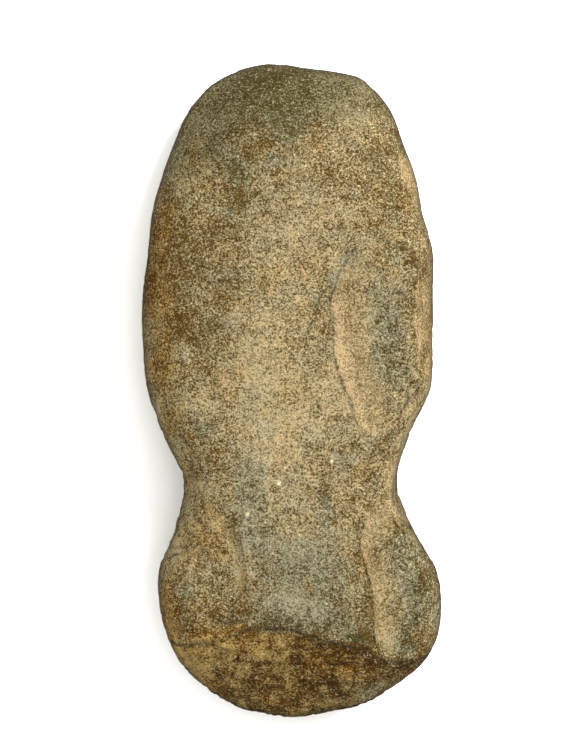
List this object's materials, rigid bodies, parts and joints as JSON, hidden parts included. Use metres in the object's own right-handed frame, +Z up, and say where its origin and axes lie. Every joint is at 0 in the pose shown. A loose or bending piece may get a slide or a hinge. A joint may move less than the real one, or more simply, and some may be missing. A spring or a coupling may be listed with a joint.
{
  "type": "stone axe head",
  "caption": "Waisted stone axe head: a flat, thick tongue of stone with a curved ground bit, a lashing notch in each side and a round poll, lying on its flatter face.",
  "frame": {"origin": "on the ground, under the middle of the plan of the axe head as it lies on its flatter face", "axes": "+Y along the stone towards the bit, +X across it, +Z up through its thickness, out of the face with the flake scars"},
  "size_m": [0.0914, 0.2, 0.0319],
  "materials": {
    "stone": "matte"
  },
  "bodies": {
    "root": {"axe_head": "stone"}
  },
  "joints": []
}
